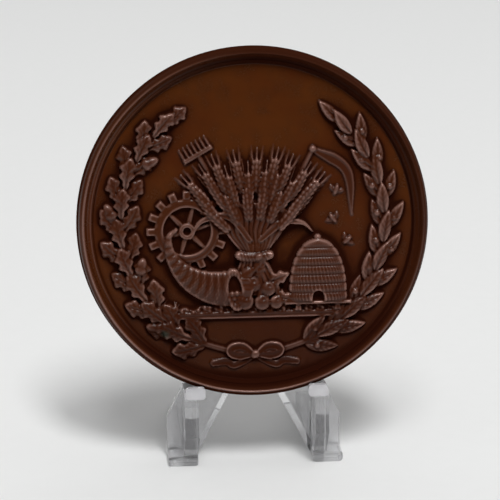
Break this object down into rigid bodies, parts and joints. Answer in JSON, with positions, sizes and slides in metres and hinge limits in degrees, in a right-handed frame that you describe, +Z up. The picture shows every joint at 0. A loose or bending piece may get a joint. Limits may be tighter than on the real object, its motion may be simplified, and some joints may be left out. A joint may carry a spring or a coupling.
{
  "type": "commemorative medal on clear display stand",
  "caption": "Round struck bronze medal with a raised rim and a garlanded trophy in relief, leaning on a small clear plastic display stand.",
  "frame": {"origin": "on the surface it stands on, under the middle of the bounding box", "axes": "+Z up, the medal's face towards -Y and leaning back towards +Y, +X to the viewer's right"},
  "size_m": [0.0764, 0.0417, 0.0913],
  "materials": {
    "bronze": "dark chocolate-brown bronze patina, satin, rubbed lighter on the high points",
    "clear_plastic": "clear, polished moulding"
  },
  "bodies": {
    "root": {"medal": "bronze", "stand": "clear_plastic"}
  },
  "joints": []
}
